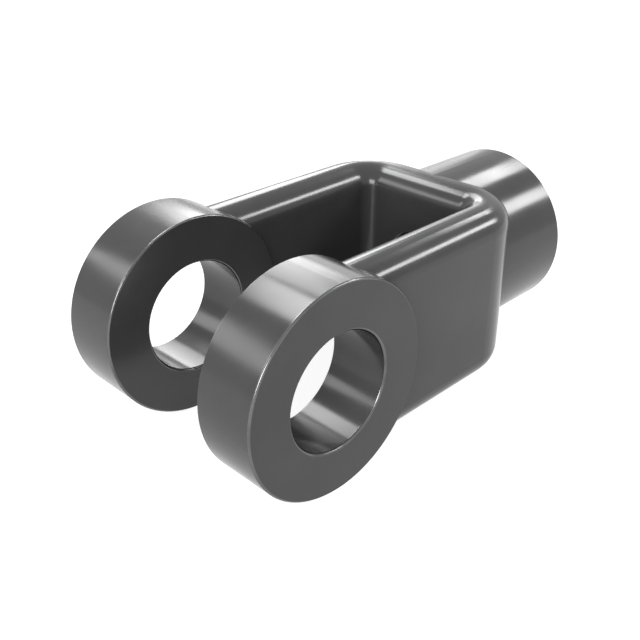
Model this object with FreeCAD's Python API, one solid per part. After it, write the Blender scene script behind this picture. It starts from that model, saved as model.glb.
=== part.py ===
import FreeCAD, Part
import math
import os

# A one-piece forged clevis for the end of a tension rod: two round ears with a pin
# bore, a U-shaped strap that carries them, and a shank behind it that is drilled and
# tapped for the rod. Millimetres, +Z up, +Y along the pin, +X from the pin along the
# rod towards the shank's end. The origin is the middle of the pin, between the ears.

# Pin and ears
pin_radius = 9.525
pin_clearance = 0.075
ear_radius = 17.5
ear_thickness = 11.1
jaw_gap = 21.9

# Shank
shank_radius = 15.8
shank_end = 68.3

# Strap that runs from the ears round the back of the jaw. The ears stand proud of it:
# by a little on the jaw's side, and by more on the outside and along their rims.
ear_above_strap = 1.7
strap_thickness = 8.6
strap_inside_step = 0.65
web_outer_face = 51.2
web_thickness = 8.7
outer_corner_radius = 12.3
pocket_corner_radius = 2.3
edge_round = 4.0
ear_junction_round = 0.3
least_flat = 0.05

# Bore for the rod: the drill's size for a half-inch thread with 13 turns to the inch
thread_major_radius = 6.35
tap_drill_radius = 5.36
bore_mouth_chamfer = 0.34
rod_entry_chamfer = thread_major_radius - tap_drill_radius + 0.15

# Machined edges
ear_edge_chamfer = 0.3
pin_bore_chamfer = 0.4
shank_end_chamfer = 0.4

# Worked out from the sizes above
pin_bore_radius = pin_radius + pin_clearance
half_gap = jaw_gap / 2
half_width = half_gap + ear_thickness
strap_half_height = ear_radius - ear_above_strap
strap_inner_face = half_gap + strap_inside_step
strap_outer_face = strap_inner_face + strap_thickness
pocket_floor = web_outer_face - web_thickness
same_place = 1e-3

ALONG_PIN = FreeCAD.Vector(0, 1, 0)
ALONG_ROD = FreeCAD.Vector(1, 0, 0)


def rounded_block(x_low, x_high, half_y, corner_radius):
    """A block as high as the strap, with its two upright back edges rounded."""
    corner = FreeCAD.Vector(x_low, -half_y, -strap_half_height)
    solid = Part.makeBox(x_high - x_low, 2 * half_y, 2 * strap_half_height, corner)
    upright = []
    for edge in solid.Edges:
        box = edge.BoundBox
        if box.XMin > x_high - same_place and box.YLength < same_place:
            upright.append(edge)
    return solid.makeFillet(corner_radius, upright)


def strap_rim_radius():
    """The round on the strap's rims, limited so that its thinnest wall keeps a flat."""
    between_sharp_corners = math.hypot(strap_thickness, web_thickness)
    taken_by_corners = (outer_corner_radius - pocket_corner_radius) * (math.sqrt(2) - 1)
    over_corner = between_sharp_corners - taken_by_corners
    thinnest = min(strap_thickness, web_thickness, over_corner)
    return min(edge_round, (thinnest - least_flat) / 2)


def strap():
    """The U-shaped strap, with its upper and lower rims rounded nearly to a half circle.

    The U's two ends, at X = 0, lie inside the ears, so their edges stay sharp.
    """
    outside = rounded_block(0, web_outer_face, strap_outer_face, outer_corner_radius)
    jaw = rounded_block(-half_gap, pocket_floor, strap_inner_face, pocket_corner_radius)
    bar = outside.cut(jaw)
    rims = []
    for edge in bar.Edges:
        box = edge.BoundBox
        if box.ZLength < same_place and box.XMax > same_place:
            rims.append(edge)
    return bar.makeFillet(strap_rim_radius(), rims)


def ear(side):
    """One round ear, on side -1 or +1, with its two rims just broken."""
    start = half_gap if side > 0 else -half_width
    disc = Part.makeCylinder(ear_radius, ear_thickness, FreeCAD.Vector(0, start, 0), ALONG_PIN)
    rims = [edge for edge in disc.Edges if edge.BoundBox.YLength < same_place]
    return disc.makeChamfer(ear_edge_chamfer, rims)


def round_ear_junctions(body):
    """Round the inside corner that runs round the strap where it enters each ear.

    The round is limited by the land that the ear's own chamfer leaves beside the strap.
    """
    inner_rim = half_gap + ear_edge_chamfer + same_place
    outer_rim = half_width - ear_edge_chamfer - same_place
    corners = []
    for edge in body.Edges:
        points = edge.discretize(5)
        on_ear = all(abs(math.hypot(point.x, point.z) - ear_radius) < same_place for point in points)
        between_rims = all(inner_rim < abs(point.y) < outer_rim for point in points)
        if on_ear and between_rims:
            corners.append(edge)
    land = min(strap_inside_step, half_width - strap_outer_face) - ear_edge_chamfer
    return body.makeFillet(min(ear_junction_round, land - least_flat), corners)


def shank():
    """The round shank, from the middle of the web behind the jaw to its chamfered end."""
    start = web_outer_face - web_thickness / 2
    body = Part.makeCylinder(shank_radius, shank_end - start, FreeCAD.Vector(start, 0, 0), ALONG_ROD)
    back = [edge for edge in body.Edges if edge.BoundBox.XMin > shank_end - same_place]
    return body.makeChamfer(shank_end_chamfer, back)


def drill_path(start, direction, length, radius, chamfer_in, chamfer_out):
    """What a drill takes out of a wall, with a 45 degree chamfer at either face.

    Each chamfer's cone starts one chamfer outside the wall, so it cuts cleanly.
    """
    path = Part.makeCylinder(radius, length + 2, start - direction, direction)
    end = start + direction * length
    for face, inward, chamfer in ((start, direction, chamfer_in), (end, -direction, chamfer_out)):
        outside = face - inward * chamfer
        cone = Part.makeCone(radius + 2 * chamfer, radius, 2 * chamfer, outside, inward)
        path = path.fuse(cone)
    return path


def clevis():
    body = round_ear_junctions(strap().fuse([ear(-1), ear(1)]).removeSplitter())
    body = body.fuse(shank())
    for ear_face in (-half_width, half_gap):
        start = FreeCAD.Vector(0, ear_face, 0)
        bore = drill_path(start, ALONG_PIN, ear_thickness, pin_bore_radius, pin_bore_chamfer, pin_bore_chamfer)
        body = body.cut(bore)
    start = FreeCAD.Vector(pocket_floor, 0, 0)
    length = shank_end - pocket_floor
    bore = drill_path(start, ALONG_ROD, length, tap_drill_radius, bore_mouth_chamfer, rod_entry_chamfer)
    return body.cut(bore).removeSplitter().Solids[0]


os.makedirs("parts", exist_ok=True)
part = clevis()
part.exportStep("parts/clevis.step")
box = part.optimalBoundingBox()
print("clevis:", len(part.Solids), "solid, valid", part.isValid(), "volume %.0f mm3" % part.Volume)
print("X %.2f to %.2f, Y %.2f to %.2f," % (box.XMin, box.XMax, box.YMin, box.YMax), "Z %.2f to %.2f mm" % (box.ZMin, box.ZMax))
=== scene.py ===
# %% [markdown]
# # A tension rod clevis
#
# This file dresses a forged steel clevis: two round ears with a pin bore, a U-shaped
# strap behind them and a round shank with a threaded bore for the rod. The exact solid
# comes from the CAD model. What is made here is what the solid leaves out: the thread
# in the bore, the finish of the steel, and a studio to look at it in.
#
# Everything is in metres. +X runs along the rod towards the shank's end, +Y along the
# pin, +Z up, and the origin is the middle of the pin.

# %% The frame
import math

import bmesh
import bpy
from mathutils import Matrix, Vector


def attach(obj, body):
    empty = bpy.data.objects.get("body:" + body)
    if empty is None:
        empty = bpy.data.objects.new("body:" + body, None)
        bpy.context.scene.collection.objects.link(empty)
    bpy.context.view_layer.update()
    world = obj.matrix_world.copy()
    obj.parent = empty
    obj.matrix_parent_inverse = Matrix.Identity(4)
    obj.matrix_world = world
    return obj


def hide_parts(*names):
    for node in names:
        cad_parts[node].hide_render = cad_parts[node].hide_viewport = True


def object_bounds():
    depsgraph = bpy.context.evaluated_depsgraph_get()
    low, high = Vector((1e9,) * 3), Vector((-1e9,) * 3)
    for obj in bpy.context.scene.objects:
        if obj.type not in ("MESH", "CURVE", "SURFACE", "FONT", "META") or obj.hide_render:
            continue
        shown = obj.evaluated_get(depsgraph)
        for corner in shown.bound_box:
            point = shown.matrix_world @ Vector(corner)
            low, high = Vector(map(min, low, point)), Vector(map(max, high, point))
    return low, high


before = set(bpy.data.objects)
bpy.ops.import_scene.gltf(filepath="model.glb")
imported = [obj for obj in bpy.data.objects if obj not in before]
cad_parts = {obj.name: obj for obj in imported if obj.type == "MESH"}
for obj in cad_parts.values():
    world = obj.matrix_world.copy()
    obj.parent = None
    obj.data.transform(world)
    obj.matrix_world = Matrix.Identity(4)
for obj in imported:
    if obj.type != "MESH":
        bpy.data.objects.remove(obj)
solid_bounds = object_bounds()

print("nodes:", sorted(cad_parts))
print("bounds in m:", [[round(v, 4) for v in corner] for corner in solid_bounds])


# %% [markdown]
# ## Writing node maths as plain expressions
#
# Both the thread's shape and the steel's finish are worked out with Math nodes. A chain
# of Math nodes is hard to read when each one is made by hand, so one small class wraps a
# socket. Adding, multiplying or comparing wrapped sockets then adds the Math node that
# does it, and the code reads like the formula it stands for.

# %% A socket that can be used in a formula
class Term:
    """A node socket in a formula. A plain number on either side works too."""

    def __init__(self, tree, socket):
        self.tree, self.socket = tree, socket

    def math(self, operation, *others):
        node = self.tree.nodes.new("ShaderNodeMath")
        node.operation = operation
        for slot, value in zip(node.inputs, (self, *others)):
            if isinstance(value, Term):
                self.tree.links.new(value.socket, slot)
            else:
                slot.default_value = value
        return Term(self.tree, node.outputs[0])

    def at_least(self, other): return self.math("MAXIMUM", other)
    def at_most(self, other): return self.math("MINIMUM", other)
    def from_0_to_1(self): return self.at_least(0.0).at_most(1.0)

    def __add__(self, other): return self.math("ADD", other)
    def __sub__(self, other): return self.math("SUBTRACT", other)
    def __mul__(self, other): return self.math("MULTIPLY", other)
    def __truediv__(self, other): return self.math("DIVIDE", other)
    def __rsub__(self, other): return self.math("MULTIPLY", -1.0) + other
    def __gt__(self, other): return self.math("GREATER_THAN", other)
    def __lt__(self, other): return self.math("LESS_THAN", other)
    def __abs__(self): return self.math("ABSOLUTE")
    __radd__, __rmul__ = __add__, __mul__


# %% Every other node
def add_node(tree, kind, settings=None, **values):
    """Any other node: its settings are made first, then its sockets get values or links.

    A socket is named by its label with _ for a space. The result is the node itself.
    """
    node = tree.nodes.new(kind)
    for name, value in (settings or {}).items():
        setattr(node, name, value)
    for label, value in values.items():
        slot = next(s for s in node.inputs if s.name.replace(" ", "_") == label and s.enabled)
        if isinstance(value, Term):
            tree.links.new(value.socket, slot)
        elif isinstance(value, bpy.types.NodeSocket):
            tree.links.new(value, slot)
        else:
            slot.default_value = value
    return node


# %% [markdown]
# ## The thread in the shank's bore
#
# The rod screws into the shank: a half-inch thread with 13 turns to the inch. The CAD
# bore has the tap drill's size, so the grooves are missing. They could be painted with a
# bump map, but from behind the clevis one looks straight into the bore, where a bump is
# flat at the edges. A thread is one rule repeated along a helix, so Geometry Nodes make
# it: a flat grid is rolled into a tube, its rows follow the helix, and their distance
# from the axis follows the groove's section.
#
# A turn has 24 rows of vertices. Three of them lie on the groove's flat bottom and seven
# on each flank, which gives a 60 degree thread its true section. A tap leaves its last
# turns shallow, so near the jaw the groove fades out over a few millimetres.

# %% Sizes of the thread
MM = 0.001
pitch = 25.4 * MM / 13
drill_radius = 5.36 * MM
major_radius = 6.35 * MM
jaw_wall = 42.5 * MM
shank_end = 68.3 * MM
mouth_radius = drill_radius + 0.34 * MM
entry_radius = major_radius + 0.15 * MM
plain_start = 1.0 * MM
run_out = 4.0 * MM
groove_depth = major_radius - drill_radius

# The groove's section, in turns: half of its flat bottom, and one flank.
rows_per_turn = 24
steps_around = 72
half_bottom = 1.5 / rows_per_turn
flank = 7.0 / rows_per_turn

# The wall stops just short of the bore's ends, and is joined to them later.
end_gap = 0.1 * MM
weld_distance = 1e-6
print("thread: pitch %.3f mm, groove %.2f mm deep" % (pitch / MM, groove_depth / MM))


# %% The thread's sizes as inputs of its node tree
def thread_inputs(tree):
    """Give the tree one input for each size, and return them by name, ready for formulas."""
    for name, value in (
        ("Pitch", pitch),
        ("Drill radius", drill_radius),
        ("Major radius", major_radius),
        ("Mouth radius", mouth_radius),
        ("Entry radius", entry_radius),
        ("Jaw wall", jaw_wall),
        ("Shank end", shank_end),
        ("Run-out", run_out),
    ):
        socket = tree.interface.new_socket(name, in_out="INPUT", socket_type="NodeSocketFloat")
        socket.default_value = value
    group = tree.nodes.new("NodeGroupInput")
    return {s.name: Term(tree, s) for s in group.outputs if s.name}


# %% How far the wall is from the bore's axis
def wall_radius(size, turn, x):
    """The wall's radius at x, where a vertex lies this many turns along the thread."""
    behind_jaw = x - size["Jaw wall"]
    from_groove = abs(turn.math("FRACT") - 0.5)
    groove = ((half_bottom + flank - from_groove) / flank).from_0_to_1()
    fade = ((behind_jaw - plain_start) / size["Run-out"]).from_0_to_1()
    radius = size["Drill radius"] + groove * fade * (size["Major radius"] - size["Drill radius"])

    # The two chamfers take away whatever the thread leaves inside their cones.
    radius = radius.at_least(size["Mouth radius"] - behind_jaw)
    return radius.at_least(size["Entry radius"] - (size["Shank end"] - x))


# %% The thread's node tree
def thread_tree(material):
    """A node tree that rolls a grid into the wall of a threaded bore along X."""
    tree = bpy.data.node_groups.new("threaded_bore", "GeometryNodeTree")
    tree.interface.new_socket("Geometry", in_out="OUTPUT", socket_type="NodeSocketGeometry")
    size = thread_inputs(tree)

    # One turn more than the bore holds at either end, because a helix starts on a slant.
    turns = math.ceil((shank_end - jaw_wall) / pitch) + 2
    grid = add_node(
        tree,
        "GeometryNodeMeshGrid",
        Vertices_X=turns * rows_per_turn + 1,
        Vertices_Y=steps_around + 1,
    ).outputs[0]
    place = add_node(tree, "GeometryNodeInputPosition").outputs[0]
    split = add_node(tree, "ShaderNodeSeparateXYZ", Vector=place)
    row, around = (Term(tree, split.outputs[i]) + 0.5 for i in (0, 1))

    # How many turns along the helix this vertex is, and where that lies along X.
    turn = row * float(turns)
    x = size["Jaw wall"] + (turn + around - 1.0) * size["Pitch"]
    x = x.at_least(size["Jaw wall"] + end_gap).at_most(size["Shank end"] - end_gap)

    radius = wall_radius(size, turn, x)
    angle = around * math.tau
    y, z = radius * angle.math("COSINE"), radius * angle.math("SINE")
    target = add_node(tree, "ShaderNodeCombineXYZ", X=x, Y=y, Z=z).outputs[0]

    # Each step takes the last one's mesh: roll it, close its seam, and give it the steel.
    mesh = add_node(tree, "GeometryNodeSetPosition", Geometry=grid, Position=target).outputs[0]
    for kind, values in (
        ("GeometryNodeMergeByDistance", {"Distance": weld_distance}),
        ("GeometryNodeRealizeInstances", {}),
        ("GeometryNodeSetMaterial", {"Material": material}),
    ):
        mesh = add_node(tree, kind, Geometry=mesh, **values).outputs[0]
    output = tree.nodes.new("NodeGroupOutput")
    tree.links.new(mesh, output.inputs[0])
    return tree


# %% The threaded wall as a mesh
def threaded_wall(material):
    """The node tree's result as a plain mesh with its seam closed."""
    holder = bpy.data.objects.new("thread_maker", bpy.data.meshes.new("thread_maker"))
    bpy.context.scene.collection.objects.link(holder)
    modifier = holder.modifiers.new("thread", "NODES")
    modifier.node_group = thread_tree(material)
    for item in modifier.node_group.interface.items_tree:
        if item.in_out == "INPUT":
            modifier[item.identifier] = item.default_value
    evaluated = holder.evaluated_get(bpy.context.evaluated_depsgraph_get())
    mesh = bpy.data.meshes.new_from_object(evaluated)
    bpy.data.objects.remove(holder)
    print("threaded wall:", len(mesh.polygons), "faces")
    return mesh


# %% [markdown]
# ## The steel
#
# The clevis is a smooth forging, machined on its ears, bores and shank, and then finished
# all over in a dark oiled oxide. That skin is only partly a metal: it keeps a dark grey of
# its own in the shadow of the jaw, where bare metal would go black, and still throws
# sharp bright lines along its rounds. So the Principled shader has Metallic at 0.3, a dark
# Base Color and a low roughness. Its edge tint is a little dark, because the oxide
# doesn't flare to white at a grazing look as a polished metal does.
#
# A finish that is the same everywhere looks like plastic, so four things vary over it.
# The colour drifts in soft patches, as scale and oil leave it. The roughness drifts with
# it. A very fine grain in the bump breaks the reflections up. And on the ears' chamfers
# the skin is rubbed through in places, where handling wears an edge first. There the
# colour is also painted up to nearly three times lighter, which is partly bare metal and
# partly a painted highlight: the thin bright lines that light draws along these edges.
# A scanned image could carry all that, but noise on the clevis's own coordinates needs no
# unwrapping, has no seams, and keeps its true size.

# %% Where the ears' machined edges are
pin_bore_radius = 9.6 * MM
ear_radius = 17.5 * MM
ear_thickness = 11.1 * MM
half_gap = 10.95 * MM
ear_middle = half_gap + ear_thickness / 2
rim_chamfer = 0.3 * MM
bore_chamfer = 0.4 * MM
edge_margin = 0.03 * MM


# The ears' chamfers: the steel is worn bare here, and its lighter colour is also a painted
# highlight.
def wear_and_highlight_edges(x, y, z):
    """1 on the chamfers of the ears' rims and bores, and 0 everywhere else."""
    radius = (x * x + z * z).math("SQRT")
    from_middle = abs(abs(y) - ear_middle)
    rim_band = rim_chamfer + edge_margin
    bore_band = bore_chamfer + edge_margin
    rim = (radius > ear_radius - rim_band) * (radius < ear_radius + edge_margin)
    rim = rim * (from_middle > ear_thickness / 2 - rim_band)
    bore = radius < pin_bore_radius + bore_band
    bore = bore * (from_middle > ear_thickness / 2 - bore_band)
    return rim.at_least(bore)


# %% Noise on the clevis's own coordinates
def noise(tree, coords, scale, detail, roughness):
    """Noise around 0.5, whose blotches are about 1 / scale metres wide."""
    node = add_node(
        tree,
        "ShaderNodeTexNoise",
        Vector=coords,
        Scale=scale,
        Detail=detail,
        Roughness=roughness,
    )
    return Term(tree, node.outputs[0])


# %% The steel's material
colour_by_patch = 0.4
colour_by_grain = 0.10
# How much lighter the chamfers are painted: bare metal, and also a painted highlight along the
# edges.
colour_by_wear_and_highlight = 1.8
gloss_by_patch = 0.16
gloss_by_grain = 0.08
skin_metallic = 0.3
worn_metallic = 0.9
wear_and_highlight_above = 0.3
wear_and_highlight_contrast = 5.0
edge_tint = 0.7
grain_height = 0.02 * MM


def steel(name, grey, roughness, grain):
    """Dark oxide over steel, in faint patches and rubbed bright on the ears' edges, partly wear
    and partly a painted highlight.
    """
    material = bpy.data.materials.new(name)
    material.use_nodes = True
    tree = material.node_tree
    tree.nodes.clear()
    coords = add_node(tree, "ShaderNodeTexCoord").outputs["Object"]
    place = add_node(tree, "ShaderNodeSeparateXYZ", Vector=coords)
    x, y, z = (Term(tree, socket) for socket in place.outputs)
    patches = noise(tree, coords, scale=90.0, detail=4.0, roughness=0.55)
    fine = noise(tree, coords, scale=2600.0, detail=3.0, roughness=0.6)

    patch, speck = patches - 0.5, fine - 0.5
    # On the chamfers the colour is painted up to nearly three times lighter: worn bare metal,
    # and a painted highlight.
    wear_and_highlight = wear_and_highlight_edges(x, y, z) * ((patches - wear_and_highlight_above) * wear_and_highlight_contrast).from_0_to_1()
    shade = patch * colour_by_patch + speck * colour_by_grain + wear_and_highlight * colour_by_wear_and_highlight + 1.0
    colour = add_node(
        tree, "ShaderNodeVectorMath", {"operation": "SCALE"}, Vector=grey, Scale=shade
    )
    bump = add_node(
        tree, "ShaderNodeBump", Strength=grain, Distance=grain_height, Height=fine
    )
    surface = add_node(
        tree,
        "ShaderNodeBsdfPrincipled",
        Base_Color=colour.outputs[0],
        Metallic=wear_and_highlight * (worn_metallic - skin_metallic) + skin_metallic,
        Roughness=patch * gloss_by_patch + speck * gloss_by_grain + roughness,
        Specular_Tint=(edge_tint, edge_tint, edge_tint, 1),
        Normal=bump.outputs[0],
    )
    output = add_node(tree, "ShaderNodeOutputMaterial")
    tree.links.new(surface.outputs[0], output.inputs[0])
    print("material:", name, "with", len(tree.nodes), "nodes")
    return material


dark_steel = steel("dark_steel", grey=(0.050, 0.050, 0.051), roughness=0.19, grain=0.025)


# %% [markdown]
# ## The thin bright lines on the ears' edges
#
# The rims and bores of the ears have small flat chamfers. On the real part their edges
# are a little rounded, so each one mirrors a whole fan of directions and finds a lamp from
# almost any side: that is the thin bright line along it. A flat facet mirrors only one
# direction and mostly stays dark. The steel's colour on these chamfers is also painted
# lighter in patches, a painted highlight that adds to the lines.
#
# A real round would need many more faces for something 0.3 mm wide. Turning the normals
# does the same with none: at each edge of a chamfer the normal becomes that of the face
# beside it, and the shading runs smoothly from one to the other. A chamfer's corners are
# known by their place, and by a normal that leans 45 degrees, so that its Y is near 0.7.

# %% Softening the ears' chamfers
same_place = 0.01 * MM
least_lean, most_lean = 0.6, 0.8


def softened(place, normal):
    """The normal of a corner, turned at an ear's chamfer to that of the face beside it."""
    radius = math.hypot(place.x, place.z)
    to_jaw_side = abs(abs(place.y) - half_gap)
    to_outside = abs(abs(place.y) - half_gap - ear_thickness)
    from_face = min(to_jaw_side, to_outside)
    leans = least_lean < abs(normal.y) < most_lean
    if not leans or from_face > bore_chamfer + same_place:
        return normal
    outward = Vector((place.x, 0, place.z)) / radius
    if abs(radius - ear_radius) < same_place and abs(from_face - rim_chamfer) < same_place:
        return outward
    if abs(radius - pin_bore_radius) < same_place:
        return -outward
    from_rim_edge = abs(radius - ear_radius + rim_chamfer)
    from_bore_edge = abs(radius - pin_bore_radius - bore_chamfer)
    if from_face < same_place and min(from_rim_edge, from_bore_edge) < same_place:
        return Vector((0, math.copysign(1, normal.y), 0))
    return normal


# %% [markdown]
# ## The clevis with its thread
#
# The CAD mesh has exact normals, which keep its wide rounds and flat faces smooth, but
# it can't be changed itself. So a copy is made: its loose triangles are merged, the
# plain bore is taken out between its two rims, and the threaded wall is joined to them.
# A Boolean could cut the thread too, but it leaves slivers where the helix meets the
# chamfers. Here every face outside the bore stays as it was. The exact normals are
# stored on the copy before it is merged and put back at the end.

# %% Taking the plain bore out
flat_limit = 1e-3


def bore_removed(shape):
    """Delete the bore's faces, and return the edges of the two rims that are left.

    A face of the bore lies behind the jaw's wall, isn't flat across the rod, and has no
    corner further out than the wider chamfer.
    """
    gone = []
    for face in shape.faces:
        furthest = max(math.hypot(v.co.y, v.co.z) for v in face.verts)
        behind_jaw = min(v.co.x for v in face.verts) > jaw_wall - weld_distance
        flat = abs(abs(face.normal.x) - 1) < flat_limit
        if furthest < entry_radius + same_place and behind_jaw and not flat:
            gone.append(face)
    bmesh.ops.delete(shape, geom=gone, context="FACES")
    rims = [edge for edge in shape.edges if edge.is_boundary]
    print("bore faces taken out:", len(gone), "rim edges:", len(rims))
    return rims


# %% Joining the threaded wall to the rims
near_end = 0.5 * MM


def thread_joined(shape, rims, wall):
    """Add the wall, and close the narrow gap between it and the rim at either end."""
    shape.from_mesh(wall)
    wall_ends = [edge for edge in shape.edges if edge.is_boundary and edge not in rims]
    for x in (jaw_wall, shank_end):
        pair = [edge for edge in rims + wall_ends if abs(edge.verts[0].co.x - x) < near_end]
        bmesh.ops.bridge_loops(shape, edges=pair)
    bmesh.ops.recalc_face_normals(shape, faces=shape.faces)
    print("open edges:", sum(edge.is_boundary for edge in shape.edges))


# %% The dressed clevis
crease_angle = math.radians(30)


def dressed_clevis(cad, material):
    """A copy of the CAD clevis whose bore is threaded, with its normals kept."""
    mesh = cad.data.copy()
    mesh.name = "clevis_steel"
    stored = mesh.attributes.new("exact_normal", "FLOAT_VECTOR", "CORNER")
    for corner, normal in enumerate(mesh.corner_normals):
        place = mesh.vertices[mesh.loops[corner].vertex_index].co
        stored.data[corner].vector = softened(place, normal.vector)

    shape = bmesh.new()
    shape.from_mesh(mesh)
    bmesh.ops.remove_doubles(shape, verts=shape.verts, dist=weld_distance)
    rims = bore_removed(shape)
    thread_joined(shape, rims, threaded_wall(material))
    shape.to_mesh(mesh)
    shape.free()

    kept = mesh.attributes["exact_normal"]
    normals = [tuple(kept.data[corner].vector) for corner in range(len(mesh.loops))]
    mesh.polygons.foreach_set("use_smooth", [True] * len(mesh.polygons))
    mesh.set_sharp_from_angle(angle=crease_angle)
    mesh.normals_split_custom_set(normals)
    mesh.attributes.remove(mesh.attributes["exact_normal"])

    piece = bpy.data.objects.new("clevis_steel", mesh)
    bpy.context.scene.collection.objects.link(piece)
    mesh.materials.clear()
    mesh.materials.append(material)
    print("clevis:", len(mesh.polygons), "faces")
    return piece


clevis = dressed_clevis(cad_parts["clevis"], dark_steel)
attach(clevis, "root")
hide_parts("clevis")


# %% [markdown]
# ## White surroundings that leave the steel dark
#
# The photograph is a product picture on pure white. A white room would light the steel
# from all sides and wash it out. A photographer keeps the bright background away from
# the object. Here the Light Path node does that: the world and the floor are white to the
# camera and to reflections, and for all other light they are a plain grey. So the steel
# stays dark, and the floor still takes the clevis's faint shadow.

# %% Which rays see white
def seen_directly(tree):
    """1 for a ray from the camera, or one that a shiny or clear surface sends on."""
    path = add_node(tree, "ShaderNodeLightPath")
    names = ("Is Camera Ray", "Is Glossy Ray", "Is Transmission Ray")
    camera, glossy, clear = (Term(tree, path.outputs[name]) for name in names)
    return camera.at_least(glossy).at_least(clear)


# %% The world
world_grey = 0.45


def pale_world():
    """White where it is seen directly, and world_grey for all other light."""
    world = bpy.data.worlds.new("studio")
    bpy.context.scene.world = world
    world.use_nodes = True
    tree = world.node_tree
    tree.nodes.clear()
    level = seen_directly(tree) * (1 - world_grey) + world_grey
    sky = add_node(tree, "ShaderNodeBackground", Color=(1, 1, 1, 1), Strength=level)
    output = add_node(tree, "ShaderNodeOutputWorld")
    tree.links.new(sky.outputs[0], output.inputs[0])


pale_world()
print("world: white seen directly,", world_grey, "otherwise")

# %% [markdown]
# ## The floor
#
# The clevis stands on a wide plane at its lowest point. A curved backdrop would hide the
# horizon too, but from one side only. So the plane's paint takes the shadow, and its glow
# lifts it to the world's white where nothing else lights it. Then no line shows where the
# floor ends and the world begins.

# %% The floor
floor_reach = 6.0
floor_paint = 0.38
floor_glow = 0.83


def pale_floor():
    """A painted plane that also glows, where it is seen directly."""
    level = solid_bounds[0].z
    signs = ((-1, -1), (1, -1), (1, 1), (-1, 1))
    corners = [(floor_reach * x, floor_reach * y, level) for x, y in signs]
    mesh = bpy.data.meshes.new("floor")
    mesh.from_pydata(corners, [], [(0, 1, 2, 3)])
    floor = bpy.data.objects.new("floor", mesh)
    bpy.context.scene.collection.objects.link(floor)

    material = bpy.data.materials.new("floor")
    material.use_nodes = True
    tree = material.node_tree
    tree.nodes.clear()
    grey = (floor_paint, floor_paint, floor_paint, 1)
    paint = add_node(tree, "ShaderNodeBsdfDiffuse", Color=grey)
    strength = seen_directly(tree) * floor_glow
    glow = add_node(tree, "ShaderNodeEmission", Color=(1, 1, 1, 1), Strength=strength)
    both = add_node(tree, "ShaderNodeAddShader")
    tree.links.new(paint.outputs[0], both.inputs[0])
    tree.links.new(glow.outputs[0], both.inputs[1])
    output = add_node(tree, "ShaderNodeOutputMaterial")
    tree.links.new(both.outputs[0], output.inputs[0])
    mesh.materials.append(material)


pale_floor()
print("floor under the world's light alone: %.2f" % (floor_glow + floor_paint * world_grey))

# %% [markdown]
# ## The soft boxes
#
# A shiny surface shows what is around it, so the lamps decide how it looks. A plain lamp
# would give one small glint. Long soft boxes draw long bright lines along the strap's
# rounds and broad bands over the ears and the shank. Where each one stands was worked
# out from the bands in the photograph: the camera's line of sight, reflected at that
# point of the surface, points at the box.
#
# So a box is given as it is seen from the clevis: where its middle line starts and ends,
# each as azimuth and elevation, its width, all in degrees, and how bright it looks.

# %% A soft box in a given direction
part_middle = Vector((0.025, 0, 0))
lamp_distance = 0.9


def towards(azimuth, elevation):
    """The unit direction at these angles: azimuth from +X towards +Y, elevation upwards."""
    turn, rise = math.radians(azimuth), math.radians(elevation)
    level = math.cos(rise)
    return Vector((math.cos(turn) * level, math.sin(turn) * level, math.sin(rise)))


def soft_box(name, start, end, width, radiance):
    """A soft box whose middle line runs from one direction to another, width degrees wide."""
    first, last = towards(*start), towards(*end)
    outward = (first + last).normalized()
    along = (last - first).normalized()
    facing = Matrix((along, outward.cross(along), outward)).transposed()
    lamp = bpy.data.lights.new(name, "AREA")
    lamp.shape = "RECTANGLE"
    lamp.size = 2 * lamp_distance * math.tan(first.angle(last) / 2)
    lamp.size_y = 2 * lamp_distance * math.tan(math.radians(width) / 2)
    lamp.energy = radiance * math.pi * lamp.size * lamp.size_y
    box = bpy.data.objects.new(name, lamp)
    box.location = part_middle + outward * lamp_distance
    box.rotation_mode = "QUATERNION"
    box.rotation_quaternion = facing.to_quaternion()
    bpy.context.scene.collection.objects.link(box)
    print("%s: %.2f by %.2f m, radiance %.1f" % (name, lamp.size, lamp.size_y, radiance))


# %% The seven soft boxes
soft_box("far_box", (45, 14), (66, 44), width=14, radiance=7.5)
soft_box("low_box", (40, 2), (39, 18), width=7, radiance=1.3)
soft_box("high_box", (68, 49), (106, 53), width=10, radiance=13.5)
soft_box("shank_box", (-22, 24), (-50, 34), width=10, radiance=17.0)
soft_box("top_box", (2, 37), (19, 35), width=6, radiance=15.0)
soft_box("front_box", (-178, 14), (-135, 22), width=20, radiance=11.0)
soft_box("side_box", (116, 30), (146, 22), width=13, radiance=4.8)


# %% [markdown]
# ## The camera
#
# A camera placed by eye never quite lays the clevis over its photograph. This one was
# worked out from the ears' circles, the shank's outline and the strap's edges. It looks
# from in front of the ears, 45 degrees round to the side and 28.5 degrees up, and isn't
# tilted. It is close, so the near ear looks clearly larger than the far one.

# %% The camera
lens, sensor_width = 48.767, 36.0
camera_place = Vector((-75.875, -93.862, 68.810)) * MM
from_clevis = towards(-134.928, 28.554)


def photo_camera():
    """The photograph's camera. from_clevis is the direction from which it looks."""
    data = bpy.data.cameras.new("camera")
    data.lens, data.sensor_width = lens, sensor_width
    data.clip_start, data.clip_end = 0.005, 50.0
    camera = bpy.data.objects.new("camera", data)
    camera.location = camera_place
    camera.rotation_mode = "QUATERNION"
    camera.rotation_quaternion = (-from_clevis).to_track_quat("-Z", "Y")
    bpy.context.scene.collection.objects.link(camera)
    bpy.context.scene.camera = camera


photo_camera()
bpy.context.scene.view_settings.view_transform = "Standard"
print("camera: %.3f m from the pin, lens %.1f mm" % (camera_place.length, lens))
